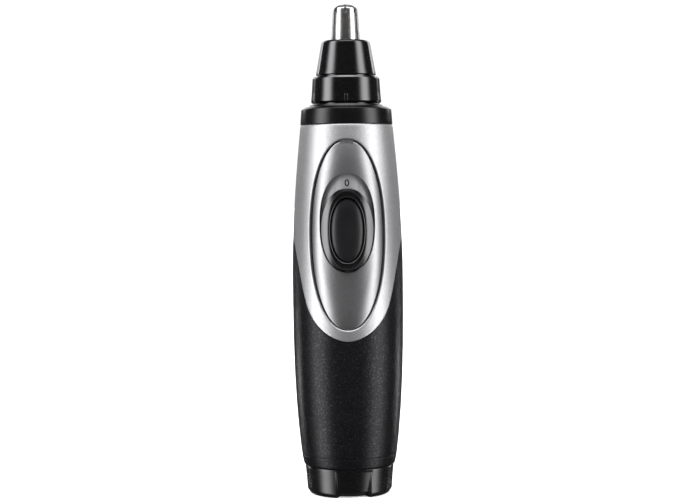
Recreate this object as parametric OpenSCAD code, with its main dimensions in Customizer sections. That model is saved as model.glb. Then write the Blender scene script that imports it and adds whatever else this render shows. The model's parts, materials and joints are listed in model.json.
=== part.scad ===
// Nose hair trimmer: upright tapered body, oval front panel with a slide
// switch, twist-off cutter head and twist-off battery cover.
// Frame: origin at the centre of the bottom face, +Z up, switch faces -Y.

/* [Body] */
// Radius of the body at its widest level
belly_r = 17; // [16.6:0.1:17.4]
// Height of the widest level
belly_z = 68; // [66:1:70]
// How much the radius shrinks at the lower end
foot_inset = 2.65; // [2.4:0.05:2.8]
// Power of the lower taper
foot_power = 2.9; // [2.6:0.1:3.2]
// How much the radius shrinks at the upper end
top_inset = 2.8; // [2.6:0.05:2.9]
// Power of the upper taper
top_power = 1.68; // [1.6:0.02:1.76]
// Wall thickness of the two outer shells
wall = 1.5; // [1.3:0.1:1.6]
// Level where the body sits on the battery cover
foot_z = 8.8; // [8.7:0.1:8.9]
// Level where the body ends under the collar
top_z = 112.6; // [112.4:0.1:112.6]
// Lowest point of the silver front tongue
tongue_z = 47.6; // [47:0.1:48]

/* [Front panel] */
// Half width of the oval panel
panel_half_w = 10.95; // [10.8:0.05:11.1]
// Half height of the oval panel
panel_half_h = 28.3; // [28:0.1:28.5]
// Height of the oval panel's centre
panel_z = 79.4; // [79:0.1:79.6]
// Width of the groove round the panel
panel_gap = 0.5; // [0.4:0.05:0.6]

/* [Switch] */
// Height of the switch window's centre
switch_z = 82.1; // [81.8:0.1:82.4]
// Lean of the switch's sliding direction, along the body's taper
switch_tilt = 2.6; // [2.4:0.1:2.8]
// Half width of the switch window
window_half_w = 8.2; // [8:0.1:8.4]
// Half height of the switch window
window_half_h = 14.6; // [14.4:0.1:14.8]
// Travel of the slider from off to on
switch_travel = 4; // [3.5:0.1:4]

/* [Cutter head] */
// Radius of the head at its lowest edge
head_r = 10.85; // [10.7:0.05:11]
// Outer radius of the cutter tube at its foot
blade_foot_r = 4.39; // [4.3:0.01:4.4]
// Outer radius of the cutter tube at its tip
blade_tip_r = 3.9; // [3.85:0.01:3.95]
// Number of slots in the cutter
blade_slots = 8; // [6:1:10]
// Width of one slot
slot_width = 0.5; // [0.4:0.05:0.6]
// Turn of the head from locked to release, degrees
head_twist = 30; // [25:1:30]

/* [Battery cover] */
// Turn of the cover from locked to release, degrees
cover_twist = 30; // [25:1:30]
// Number of grip recesses
grips = 3; // [2:1:3]

/* [Motor and fan] */
// Radius of the motor can
motor_r = 10.05; // [9.9:0.05:10.1]
// Half width of the motor across its flats
motor_flat = 7.55; // [7.4:0.05:7.6]
// Radius of the motor shaft
shaft_r = 1; // [0.95:0.01:1]
// Number of fan blades
fan_blades = 9; // [7:1:11]

/* [Hidden] */
fit = 0.1;             // gap between parts that don't move against each other
run = 0.03;            // radial running clearance of the shafts
seam = 0.08;           // gap between the two outer shells
beyond = 25;           // reach of cuts that pass right through the body
bore_r = shaft_r + run;
// Bayonet lugs: [inner radius, outer radius, bottom, top] and half angle
head_lug = [8.4, 9.7, 113.3, 115.3];
head_lug_angle = 20;
cover_lug = [10.5, 11.6, 11.2, 12.8];
cover_lug_angle = 15;
// Colours
steel = [0.78, 0.79, 0.8];
silver = [0.66, 0.67, 0.68];
black = [0.07, 0.07, 0.075];
gloss = [0.03, 0.03, 0.032];
brass = [0.8, 0.64, 0.32];
dark_grey = [0.14, 0.14, 0.15];
mid_grey = [0.5, 0.5, 0.52];

// ---------- helpers ----------
// Outer radius of the body at height z; each taper has its own length
lower_taper = 58;
upper_taper = 44.7;
function body_r(z) = z < belly_z
  ? belly_r - foot_inset*pow((belly_z - z)/lower_taper, foot_power)
  : belly_r - top_inset*pow((z - belly_z)/upper_taper, top_power);
// Superellipse outline
function oval(half_w, half_h, power, points = 44, centre = 0) =
  [for (i = [0:points - 1]) let (t = 360*(i + 0.5)/points)
    [half_w*sign(cos(t))*pow(abs(cos(t)), 2/power),
      centre + half_h*sign(sin(t))*pow(abs(sin(t)), 2/power)]];
// Rectangular section between two radii and two heights
function section(r0, r1, z0, z1) = [[r0, z0], [r1, z0], [r1, z1], [r0, z1]];

// Solid of revolution; every profile is rows of [radius, height]
module turned(profile) rotate_extrude($fn = 96) polygon(profile);
module tube(r0, r1, z0, z1) turned(section(r0, r1, z0, z1));
// Ring of the body's own shape, between two depths under the surface
module skin(z0, z1, depth0, depth1, steps = 20) {
  levels = [for (i = [0:steps]) z0 + (z1 - z0)*i/steps];
  turned(concat(
    [for (z = levels) [body_r(z) - depth0, z]],
    [for (i = [steps:-1:0]) [body_r(levels[i]) - depth1, levels[i]]]));
}
// Prism with a front-view outline, from the axis towards -Y
module front(outline, y0 = 3, y1 = beyond)
  translate([0, -y0, 0]) rotate([90, 0, 0]) linear_extrude(height = y1 - y0) polygon(outline);
// Part of a tube between two angles; band is [r0, r1, z0, z1]
module sector(band, from, to)
  rotate([0, 0, from]) rotate_extrude(angle = to - from, $fn = 96)
    polygon(section(band[0], band[1], band[2], band[3]));
// Box between two corners
module box(low, high) translate(low) cube(high - low);
// Upright cylinder on the axis
module rod(z, height, radius, fn = 48)
  translate([0, 0, z]) cylinder(h = height, r = radius, $fn = fn);
// Copies evenly spaced round the axis
module around(count, start = 0)
  for (i = [0:count - 1]) rotate([0, 0, start + 360*i/count]) children();
module crossed() for (angle = [0, 90]) rotate([0, 0, angle]) children();
// Ring of round rubber cord
module seal_ring(radius, z)
  rotate_extrude($fn = 96) translate([radius, z]) circle(r = 0.27, $fn = 24);
// Space for one bayonet lug: the slot it turns in and the entry it slides through
module bayonet_slot(lug, inner_r, entry, half_angle, twist) {
  sector([inner_r, lug[1] + fit, lug[2] - 0.2, lug[3] + 0.2],
    -half_angle - 0.4, half_angle + 0.4 + twist);
  sector(entry, -half_angle - 0.3 + twist, half_angle + 0.2 + twist);
}
// Strip bent in side view; each leg is [y0, z0, y1, z1]
module bent_strip(half_w, legs)
  for (leg = legs) box([-half_w, leg[0], leg[1]], [half_w, leg[2], leg[3]]);
// Frame of the switch: leans with the body's taper
module switch_frame() translate([0, 0, switch_z]) rotate([-switch_tilt, 0, 0]) children();
// Curved plate of the switch: between two radii, inside an outline
module curved(r0, r1, outline) intersection() {
  tube(r0, r1, -22, 22);
  front(outline);
}
// Coil of round wire, from radius r0 at z0 to r1 at z1, centre line
module coil(r0, r1, z0, z1, turns, wire_r, sides = 7, steps = 18) {
  last = floor(turns*steps);
  points = [for (i = [0:last]) let (
      f = i/last, radius = r0 + (r1 - r0)*f, z = z0 + (z1 - z0)*f, angle = 360*turns*f)
    for (j = [0:sides - 1]) let (b = 360*j/sides, reach = radius + wire_r*cos(b))
      [reach*cos(angle), reach*sin(angle), z + wire_r*sin(b)]];
  flanks = [for (i = [0:last - 1]) for (j = [0:sides - 1])
    let (p = i*sides + j, q = i*sides + (j + 1)%sides)
      each [[p, q, q + sides], [p, q + sides, p + sides]]];
  start_cap = [for (j = [sides - 1:-1:0]) j];
  end_cap = [for (j = [0:sides - 1]) last*sides + j];
  polyhedron(points = points, faces = concat([start_cap], flanks, [end_cap]), convexity = 10);
}

// ---------- outer shells ----------
tongue_rise = 31.5;
tongue_top = tongue_z + tongue_rise;
tongue_steps = 22;
panel_power = 2.2;
// Half width of the silver tongue at a rise above its lowest point
function tongue(rise) = 11.05*sqrt(1 - exp(-(0.145*rise + 0.0105*rise*rise))) + 0.18*rise;
function tongue_edge(side, order) =
  [for (i = order) let (rise = tongue_rise*pow(i/tongue_steps, 1.6))
    [side*tongue(rise), tongue_z + rise]];
// Space of the silver upper shell: a tongue at the front, level round the back
module upper_space() {
  roof = 130;
  front(concat(
    tongue_edge(1, [0:tongue_steps]),
    [[beyond, tongue_top], [beyond, roof], [-beyond, roof], [-beyond, tongue_top]],
    tongue_edge(-1, [tongue_steps:-1:1])), 0);
  box([-beyond, -1, tongue_top], [beyond, beyond, roof]);
}
// Four slots one above another at the back, each narrower by twice the taper
module rear_slots(half_w, taper, y1)
  for (i = [0:3]) let (w = half_w - taper*i, z = 96.5 + 2.2*i) box([-w, 8, z], [w, y1, z + 1]);
module upper_shell() color(silver) difference() {
  intersection() {
    skin(tongue_z - 1, top_z, 0, wall, 24);
    upper_space();
  }
  front(oval(panel_half_w + panel_gap, panel_half_h + 0.5*panel_gap, panel_power, 72, panel_z));
  rear_slots(4.5, 0.4, beyond);
}
module lower_shell() color(black) difference() {
  skin(foot_z, tongue_top - seam, 0, wall, 22);
  translate([0, 0, -seam]) upper_space();
}
module oval_panel() color(silver) difference() {
  intersection() {
    skin(48, 109, 0, wall);
    front(oval(panel_half_w, panel_half_h, panel_power, 72, panel_z));
  }
  switch_frame() front(oval(window_half_w, window_half_h, window_power, 64));
  switch_frame() curved(5, 15.9, oval(9.4, 16.6, window_power, centre = floor_centre));
}
module panel_seal() color(gloss) difference() {
  intersection() {
    skin(47, 110, wall + fit, wall + 0.9);
    front(oval(panel_half_w + 2, panel_half_h + 1.1, panel_power, centre = panel_z));
  }
  front(oval(panel_half_w - 0.4, panel_half_h - 1.7, panel_power, centre = panel_z));
}
// Recessed floor of the switch window, on two legs, with a slot for the stem
module switch_floor() color(silver) difference() {
  union() {
    switch_frame() curved(14.2, 14.98, oval(9.2, 16.2, window_power, centre = floor_centre));
    for (side = [-1, 1])
      box([side*8.3 - 0.5, -11.9, switch_z - 6], [side*8.3 + 0.5, -8.1, switch_z + 4]);
  }
  switch_frame() box([-1.7, -20, -2.4], [1.7, -5, switch_travel + 2.4]);
}
collar_profile = [
  [8.9, 106.3], [10.3, 106.3], [10.3, 116.8], [11.5, 116.8], [11.5, 109], [12.6, 109],
  [12.6, 112.8], [14.2, 112.8], [13.9, 117.2], [13.62, 117.9], [12.6, 118.55],
  [10.9, 118.9], [8.9, 118.9]];
module body_collar() color(black) difference() {
  turned(collar_profile);
  around(2) bayonet_slot(head_lug, 8, [8.1, 9.75, 114.2, 120], head_lug_angle, head_twist);
}

// ---------- chassis ----------
battery_tube_r = 7.4;      // inside
bulkhead_z = 58.8;
bulkhead_top = 60.4;
cradle_r = 11.2;
cradle_top = 88.3;
screw_x = 12.2;
screw_r = 0.9;
screw_head_r = 1.75;
screw_head_h = 1.2;
pillar_r = 1.9;            // screw pillars and the housing's ears
ear_top = 90.3;
module inner_chassis() color([0.16, 0.16, 0.17]) difference() {
  union() {
    tube(battery_tube_r, 8.4, 15, 59);
    tube(battery_tube_r, 12.5, 14.6, 16);           // flange of the battery tube
    tube(10.9, 12.5, 9, 15);                        // socket of the cover
    around(4, 45) box([8.2, -0.6, 15.8], [13.4, 0.6, 34]);   // ribs
    tube(3.2, cradle_r, bulkhead_z, bulkhead_top);
    difference() {                                  // motor cradle, open at the front
      tube(10.2, cradle_r, 60, cradle_top);
      box([-12, -12, bulkhead_top], [12, -9.2, 90]);
      box([-12, -12, bulkhead_top], [12, 0, 66]);
    }
    box([-7.6, -9.2, 66], [7.6, -8, cradle_top]);   // switch bridge
    switch_frame() box([-5, -9.8, -12], [5, -8.6, 5.5]);
    around(2) translate([screw_x, 0, 0]) rod(78, 10.3, pillar_r);
  }
  around(2) translate([screw_x, 0, 0]) rod(83, 6, screw_r, 32);
  box([-1.7, 8.45, 14], [1.7, 9.1, 62]);            // slot of the negative strip
  around(3) bayonet_slot(cover_lug, 10, [10.1, 11.66, 8, 12.1], cover_lug_angle, cover_twist);
}
// Screw with a cross recess, its head resting on z = 0
module screw(length) difference() {
  union() {
    rod(-length, length + 0.1, screw_r, 32);
    rod(0, screw_head_h, screw_head_r);
  }
  crossed() box([-screw_head_r*0.62, -0.2, screw_head_h*0.45],
    [screw_head_r*0.62, 0.2, screw_head_h + 1]);
}
module chassis_screws() color(steel)
  around(2) translate([screw_x, 0, ear_top]) screw(6.5);

// ---------- fan housing ----------
floor_z = 93;              // fan housing's floor
floor_top = 94.4;
housing_r = 12.2;
housing_top = 105;
housing_profile = [[3, floor_z], [housing_r, floor_z], [housing_r, housing_top],
  [11.4, housing_top], [11.4, floor_top], [3, floor_top]];
module fan_housing() color(dark_grey) difference() {
  union() {
    tube(9.2, 10.2, 88.35, 93.2);
    turned(housing_profile);
    around(2) {                                     // screw ears
      translate([screw_x, 0, 0]) rod(88.4, 1.9, pillar_r);
      box([9.7, -1.6, 88.4], [12.1, 1.6, ear_top]);
    }
  }
  around(2) translate([screw_x, 0, 0]) rod(88, 3, 1.05, 32);
  rear_slots(4, 0, 14);
  box([-6, -12, 88], [6, -8.4, 91.4]);              // room for the wiper's travel
}
module fan_cover() color(dark_grey)
  turned([[5.2, 105.02], [housing_r, 105.02], [housing_r, 106.2], [6.2, 106.2], [5.2, 105.8]]);
module shaft_seal() color(black)
  turned([[bore_r, 93.2], [3, floor_z], [3, floor_top], [1.8, floor_top], [bore_r, 93.8]]);

// ---------- motor ----------
motor_z = 62;
motor_top = 87.1;
can_wall = 1;
cap_top = 64.2;
bush_z = 62.5;             // seat of the lower bush
bush_r = 2;
core_z = 68;
core_top = 80;
tooth_half_w = 0.9;
commutator_r = 2.4;
// Cylinder with flats facing -Y and +Y
module flatted(radius, flat, z0, z1) intersection() {
  rod(z0, z1 - z0, radius, 96);
  box([-20, -flat, z0 - 1], [20, flat, z1 + 1]);
}
module motor_can() color(steel) difference() {
  union() {
    flatted(motor_r, motor_flat, motor_z, motor_top);
    rod(87, 1.2, 3.08, 64);
  }
  flatted(motor_r - can_wall, motor_flat - can_wall, motor_z - 1, motor_top - can_wall);
  rod(85, 5, bush_r);
}
module motor_end_cap() color([0.86, 0.85, 0.8]) difference() {
  flatted(motor_r - can_wall, motor_flat - can_wall, 62.05, cap_top);
  rod(bush_z, 3, bush_r);
}
module motor_magnets() color([0.2, 0.19, 0.19]) around(2) sector([6.6, 9.02, 66.8, 84], -38, 38);
module motor_bushes() color([0.7, 0.55, 0.35]) {
  tube(bore_r, bush_r, motor_top - can_wall, 88.2);
  tube(bore_r, bush_r, bush_z, cap_top);
}
module motor_brushes() color(brass) around(2) {
  box([commutator_r + 0.05, -0.8, 65.1], [3.7, 0.8, 66.2]);
  box([3.6, -0.9, cap_top], [3.9, 0.9, 66.2]);
}
module motor_cushion() color(black) tube(3.2, 7.5, 87.15, cradle_top);
module motor_shaft() color(steel) rod(62.6, 43.8, shaft_r);
module rotor_core() color(mid_grey) difference() {
  union() {
    rod(core_z, core_top - core_z, 2.6);
    around(3, 90) {
      box([1.5, -tooth_half_w, core_z], [5.9, tooth_half_w, core_top]);
      sector([5.4, 6.3, core_z, core_top], -47, 47);
    }
  }
  rod(60, 30, shaft_r);
}
module rotor_windings() color([0.72, 0.38, 0.18]) around(3, 90) difference() {
  box([3, -1.9, core_z - 1.1], [4.9, 1.9, core_top + 1.1]);
  box([2.8, -tooth_half_w, core_z], [6, tooth_half_w, core_top]);
}
module commutator() color(brass) difference() {
  rod(64.7, 2, commutator_r);
  rod(60, 10, shaft_r);
  around(3, 30) box([1.6, -0.15, 64], [4, 0.15, 68]);
}
module suction_fan() color([0.75, 0.76, 0.74]) difference() {
  union() {
    rod(95.2, 0.8, 10.5, 96);                       // disc
    rod(95.2, 6.3, 2.4);                            // hub
    around(fan_blades) box([2, -0.4, 95.5], [10.3, 0.4, 101.5]);
  }
  rod(90, 20, shaft_r);
}
module drive_coupling() color([0.85, 0.85, 0.82]) difference() {
  rod(101.6, 9, 3.2, 64);
  rod(101, 5.4, shaft_r);
  box([-5, -0.85, 107.2], [5, 0.85, 112]);          // slot for the cutter shaft's foot
}

// ---------- power path ----------
cell_profile = [
  [0, 7.6], [4.6, 7.6], [4.8, 7.8], [6.9, 7.8], [7.1, 8], [7.1, 56.6], [6.7, 57.1],
  [2.7, 57.1], [2.7, 57.9], [2.5, 58.1], [0, 58.1]];
module battery_cell() color([0.25, 0.45, 0.35]) turned(cell_profile);
module positive_contact() color(brass) {
  rod(58.15, 0.4, 3);
  bent_strip(1, [[-1, 58.4, -0.7, 61.2], [-9.6, 60.9, -0.7, 61.2], [-9.6, 60.9, -9.3, 69.4]]);
}
module negative_strip() color(brass)
  bent_strip(1.5, [[8.5, 14.1, 8.8, 61.8], [8.5, 14.1, 10.2, 14.4]]);
// The terminal on the -X side reaches further down
module switch_terminals() color(brass) switch_frame() for (side = [-1, 1])
  box([side*2.4 - 1, -10.1, side < 0 ? -11.5 : -2], [side*2.4 + 1, -9.8, 5]);
module detent_spring() color(steel) switch_frame() {
  box([3.2, -12.1, -1], [6.1, -11.85, 1]);
  box([6, -12.5, -1.2], [6.6, -11.4, 1.2]);
}

// ---------- slide switch ----------
window_power = 2.3;
floor_centre = -0.4;       // heights in the switch frame
knob_centre = -2.2;
plate_r = 15.75;           // outer face of the slider plate
pocket_r = 16.9;           // floor of the thumb pad's pocket
stem_half_h = 2.1;
wiper_y = -10.45;          // where the stem meets the wiper
module knob_layer(r0, r1, half_w, half_h)
  curved(r0, r1, oval(half_w, half_h, 2.2, 60, knob_centre));
module slider_plate() color(mid_grey) switch_frame() {
  curved(15.1, plate_r, oval(8.9, 12.9, window_power, centre = -2.6));
  box([-1.5, -15.3, -stem_half_h], [1.5, wiper_y, stem_half_h]);
}
module switch_knob() color(gloss) switch_frame() difference() {
  union() {
    // flank with a rounded shoulder: [outer radius, inset]
    for (step = [[17.1, 0], [17.4, 0.1], [17.6, 0.22], [17.75, 0.36], [17.9, 0.56]])
      knob_layer(plate_r, step[0], 6.35 - step[1], 12.3 - 1.3*step[1]);
  }
  // pocket of the thumb pad, bevelled: [inner radius, half width]
  for (step = [[pocket_r, 4.95], [17.55, 5.1], [17.7, 5.3], [17.82, 5.5]])
    knob_layer(step[0], 20, step[1], step[1] + 4.45);
}
module thumb_pad() color(black) switch_frame()
  for (step = [[17.45, 0], [17.6, 0.35], [17.7, 0.9]])   // [outer radius, inset]
    knob_layer(pocket_r, step[0], 4.8 - step[1], 9.2 - step[1]);
module switch_wiper() color(brass) switch_frame()
  box([-3.4, wiper_y, -stem_half_h], [3.4, wiper_y + 0.3, stem_half_h]);

// ---------- battery cover ----------
grip_start = 251;
grip_angle = 50;
// The grip's side walls stand upright, its floor leans inward to the bottom
grip_profile = [[13.7, 8.4], [16, 8.4], [16, -1], [9, -1], [9, 0], [11.4, 1.5]];
cover_profile = [
  [0, 0], [12.2, 0], [12.7, 0.4], [12.95, 1.3], [13.05, 2.8], [13.25, 5.25], [13.55, 8.3],
  [13.45, 8.7], [10.8, 8.7], [10.8, 9.3], [10.3, 9.3], [10.3, 10.1], [10.8, 10.1],
  [10.8, 13.5], [9.7, 13.5], [9.7, 2], [0, 2]];
contact_profile = [
  [0, 2.05], [9.65, 2.05], [9.65, 13.55], [10.5, 13.55], [10.5, 13.9], [9.35, 13.9],
  [9.35, 2.35], [0, 2.35]];
module battery_cover() color(black) difference() {
  union() {
    turned(cover_profile);
    around(3) sector(cover_lug, -cover_lug_angle, cover_lug_angle);
  }
  around(grips, grip_start) rotate_extrude(angle = grip_angle, $fn = 96) polygon(grip_profile);
}
module cover_seal() color(black) seal_ring(10.58, 9.7);
module negative_spring() color(steel) coil(5.4, 2.9, 2.78, 7.2, turns = 4, wire_r = 0.33);
module cover_contact() color(steel) turned(contact_profile);

// ---------- cutter head ----------
cutter_shaft_r = 1.2;
ring_profile = [
  [7.4, 112.4], [8.5, 112.4], [8.8, 112.7], [8.8, 116.5], [8.3, 116.5], [8.3, 117.4],
  [8.8, 117.4], [8.8, 119.2], [10.2, 119.2], [10.6, 119.5], [head_r, 119.8], [10.3, 126.9],
  [10.1, 127.35], [9.7, 127.5], [8.3, 127.5], [8.3, 119.8], [7.4, 119.8]];
cone_profile = [
  [7.2, 122.5], [8.25, 122.5], [8.25, 127.9], [9, 127.9], [9.25, 128.2], [7.65, 137.4],
  [7.5, 138.2], [7.1, 138.7], [4.45, 138.7], [4.45, 137.8], [5.9, 137.8], [5.9, 136.6],
  [6.2, 136.5], [7.6, 128.6], [7.2, 128]];
outer_blade_profile = [
  [3.95, 136.9], [5.85, 136.9], [5.85, 137.75], [4.4, 137.75], [blade_foot_r, 139.2],
  [blade_tip_r, 148.3], [3.6, 148.85], [2.5, 149.6], [1.5, 150], [0, 150], [0, 149.55],
  [1.4, 149.55], [2.3, 149.2], [3.2, 148.55], [3.5, 148.1]];
inner_blade_profile = [
  [0, 142.5], [3.1, 142.5], [3.35, 147.8], [2.2, 148.95], [1.3, 149.35], [0, 149.35]];
module head_ring() color(gloss) difference() {
  union() {
    turned(ring_profile);
    around(2) sector(head_lug, -head_lug_angle, head_lug_angle);
  }
  // two fine upright grooves at the front
  for (side = [-1, 1]) box([side*0.45 - 0.08, -12, 119.6], [side*0.45 + 0.08, -10.3, 122.9]);
}
module head_cone() color(gloss) turned(cone_profile);
module outer_blade() color(steel) difference() {
  turned(outer_blade_profile);
  around(blade_slots, 270) box([1.3, -slot_width/2, 147.6], [6, slot_width/2, 151]);
}
module cutter_bush() color([0.8, 0.8, 0.78]) difference() {
  bush_bore = cutter_shaft_r + run;
  turned([[bush_bore, 129], [7.5, 129], [7.02, 131.6], [bush_bore, 131.6]]);
  around(3) sector([2.8, 5.9, 128, 133], 0, 95);
}
module debris_filter() color([0.82, 0.83, 0.84]) difference() {
  tube(2.8, 8.2, 119.9, 120.7);
  around(16) box([3.6, -0.3, 119], [7.4, 0.3, 122]);
}
module head_seal() color(black) seal_ring(8.58, 116.95);
// Two crossed blades on a hub
module inner_blade() color(steel) difference() {
  union() {
    intersection() {
      turned(inner_blade_profile);
      crossed() box([-5, -0.35, 142], [5, 0.35, 150]);
    }
    rod(140.8, 6, 1.7);
  }
  rod(140, 5.6, cutter_shaft_r);
}
module cutter_shaft() color(steel) {
  rod(110.7, 34.8, cutter_shaft_r);
  box([-2.6, -0.75, 107.5], [2.6, 0.75, 110.9]);
}
module cutter_spring() color(steel) coil(1.9, 1.9, 132.05, 140.45, turns = 6, wire_r = 0.26);

upper_shell();
lower_shell();
oval_panel();
panel_seal();
switch_floor();
body_collar();
inner_chassis();
chassis_screws();
fan_housing();
fan_cover();
shaft_seal();
motor_can();
motor_end_cap();
motor_magnets();
motor_bushes();
motor_brushes();
motor_cushion();
positive_contact();
negative_strip();
switch_terminals();
detent_spring();
battery_cell();
motor_shaft();
rotor_core();
rotor_windings();
commutator();
suction_fan();
drive_coupling();
inner_blade();
cutter_shaft();
cutter_spring();
outer_blade();
head_cone();
head_ring();
debris_filter();
cutter_bush();
head_seal();
battery_cover();
cover_seal();
negative_spring();
cover_contact();
slider_plate();
switch_knob();
thumb_pad();
switch_wiper();
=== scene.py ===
"""A slim battery trimmer standing upright on its battery cover.

Its axis is Z, with the cover at the bottom and the slotted steel cutter on top. The front, with the
oval panel and the slide switch, faces -Y; +X is the viewer's right. Forms are written in
millimetres, and angles round the axis run from the front towards +X.
"""
import bpy, bmesh, math, json
import numpy as np
from mathutils import Vector, Matrix, Euler


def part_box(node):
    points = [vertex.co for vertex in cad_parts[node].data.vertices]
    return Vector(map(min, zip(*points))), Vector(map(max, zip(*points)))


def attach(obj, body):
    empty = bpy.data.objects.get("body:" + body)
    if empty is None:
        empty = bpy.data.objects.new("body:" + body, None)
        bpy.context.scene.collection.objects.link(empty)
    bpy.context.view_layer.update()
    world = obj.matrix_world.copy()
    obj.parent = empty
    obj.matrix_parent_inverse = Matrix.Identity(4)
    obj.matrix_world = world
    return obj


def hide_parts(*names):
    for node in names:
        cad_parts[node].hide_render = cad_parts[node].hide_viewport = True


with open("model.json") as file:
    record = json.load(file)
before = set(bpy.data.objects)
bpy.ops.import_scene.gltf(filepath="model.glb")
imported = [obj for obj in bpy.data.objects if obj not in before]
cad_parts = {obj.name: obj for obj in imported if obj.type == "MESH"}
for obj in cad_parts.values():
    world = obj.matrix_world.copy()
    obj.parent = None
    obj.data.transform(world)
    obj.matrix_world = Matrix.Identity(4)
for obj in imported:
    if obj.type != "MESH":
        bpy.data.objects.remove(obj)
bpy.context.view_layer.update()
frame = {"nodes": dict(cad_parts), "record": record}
MM = 0.001


def cad_corners(node):
    """Lowest and highest corner of a CAD node, in millimetres."""
    low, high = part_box(node)
    return [c / MM for c in low], [c / MM for c in high]


# ------------------------------------------------------------------ driving sizes, in millimetres
FOOT_Z = cad_corners("lower_shell")[0][2]      # the body sits on the battery cover here
TOP_Z = cad_corners("upper_shell")[1][2]       # the body ends here, under the collar
TONGUE_Z = cad_corners("upper_shell")[0][2]    # lowest point of the silver tongue
BELLY_R, BELLY_Z = cad_corners("lower_shell")[1][0], 68.0
LOW_TAPER = (2.65, 58.0, 2.9)                  # radius lost below the belly, over this height, power
TOP_TAPER = (2.8, 44.7, 1.68)                  # the same above the belly
CREASE_Z, CREASE_DEPTH, CREASE_WIDTH = 12.0, 0.11, 0.20
FOOT_DRAW_IN = 0.22                            # extra radius lost between the crease and the foot
WALL = 1.5

COLOUR_LINE_Z = 79.0                           # two-tone line round the back
LINE_SIDE_WEIGHT, LINE_BLEND, LINE_OFFSET = 2.2, 2.0, 0.35
TONGUE_HALF_WIDTH, TONGUE_FLARE = 11.05, 0.18
TONGUE_ROUNDING = (0.145, 0.0105)              # linear and square terms of the tongue's tip

PANEL_HALF_W, PANEL_HALF_H, PANEL_Z, PANEL_GAP = 10.95, 28.3, 79.4, 0.5
PANEL_POWER = 2.2
SWITCH_Z, SWITCH_TILT = 82.1, math.radians(2.6)
WINDOW_HALF_W, WINDOW_HALF_H, WINDOW_POWER = 8.2, 14.6, 2.3
FLOOR_R, SLIDER_R, HOLLOW_R = 15.28, 15.75, 15.9    # curved levels in the switch frame
KNOB_CENTRE = -2.2                             # height of the knob in the switch frame
KNOB_POINTS = 144

ANGLE_TO_MM = 16.0                             # about the body's radius
FAR = 5.0                                      # field value on the side where a feature is absent


# ------------------------------------------------------------------ the body's form
def taper(distance, loss, span, power):
    return loss * (np.maximum(distance, 0) / span) ** power


def body_radius(z):
    z = np.asarray(z, float)
    below = BELLY_R - taper(BELLY_Z - z, *LOW_TAPER)
    above = BELLY_R - taper(z - BELLY_Z, *TOP_TAPER)
    radius = np.where(z < BELLY_Z, below, above)
    # under a faint crease the last band draws in a little more
    band = np.clip((CREASE_Z - z) / (CREASE_Z - FOOT_Z), 0, 1.2)
    radius = radius - FOOT_DRAW_IN * band ** 1.2
    return radius - CREASE_DEPTH * np.exp(-((z - CREASE_Z) / CREASE_WIDTH) ** 2)


def body_point(angle, z, depth=0.0):
    """Point at a depth under the body's surface."""
    radius = body_radius(z) - depth
    x, y = radius * np.sin(angle), -radius * np.cos(angle)
    return np.stack([x, y, np.asarray(z, float) + 0 * angle], -1)


def to_switch(points):
    """Body points in the switch's leaning frame."""
    y, z = points[..., 1], points[..., 2] - SWITCH_Z
    c, s = math.cos(SWITCH_TILT), math.sin(SWITCH_TILT)
    return np.stack([points[..., 0], c * y - s * z, s * y + c * z], -1)


def from_switch(points):
    y, z = points[..., 1], points[..., 2]
    c, s = math.cos(SWITCH_TILT), math.sin(SWITCH_TILT)
    return np.stack([points[..., 0], c * y + s * z, -s * y + c * z + SWITCH_Z], -1)


def switch_surface(level):
    """Surface function of a cylinder of this radius in the switch frame."""
    def surface(angle, z, depth=0.0):
        radius = level - depth
        x, y = radius * np.sin(angle), -radius * np.cos(angle)
        return from_switch(np.stack([x, y, np.asarray(z, float) + 0 * angle], -1))
    return surface


# ------------------------------------------------------------------ outline fields
# A field gives about the distance inside an outline, in millimetres, for (angle, z).
def smooth(t):
    t = np.minimum(np.maximum(t, 0.0), 1.0)
    return t * t * (3 - 2 * t)


def oval_inset(x, y, half_w, half_h, power):
    """About the distance inside a superellipse."""
    size = ((np.abs(x) / half_w) ** power + (np.abs(y) / half_h) ** power) ** (1.0 / power)
    return (1.0 - size) * min(half_w, half_h)


def window_inset(x, z):
    return oval_inset(x, z, WINDOW_HALF_W, WINDOW_HALF_H, WINDOW_POWER)


def front_only(angle, inset):
    return np.where(np.cos(angle) > 0.1, inset, -FAR)


def negate(field):
    """Field of what lies outside an outline."""
    return lambda angle, z: -field(angle, z)


def tongue_half_width(height):
    height = np.maximum(height, 0)
    linear, square = TONGUE_ROUNDING
    growth = 1 - np.exp(-(linear * height + square * height * height))
    return TONGUE_HALF_WIDTH * np.sqrt(np.maximum(growth, 0)) + TONGUE_FLARE * height


def silver_field(angle, z):
    """Positive in the silver upper part: above the colour line, or in the front tongue."""
    angle = np.abs(angle)
    angle = np.where(angle > math.pi, 2 * math.pi - angle, angle)
    quarter = math.pi / 2
    radius = body_radius(z)
    x = np.where(angle < quarter, radius * np.sin(np.minimum(angle, quarter)),
                 radius * (1 + (angle - quarter)))
    height = z - TONGUE_Z
    side = np.where(height >= 0, tongue_half_width(height) - x, height * 2.0 - x)
    a, b = side * LINE_SIDE_WEIGHT, z - COLOUR_LINE_Z
    return (a + b + np.sqrt((a - b) ** 2 + LINE_BLEND ** 2)) / 2 - LINE_OFFSET


def panel_oval(half_w, half_h):
    def field(angle, z):
        x = body_radius(z) * np.sin(angle)
        return front_only(angle, oval_inset(x, z - PANEL_Z, half_w, half_h, PANEL_POWER))
    return field


def window_field(angle, z):
    """Positive outside the switch window, on the body's surface."""
    local = to_switch(body_point(angle, z))
    return -front_only(angle, window_inset(local[..., 0], local[..., 2]))


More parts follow.
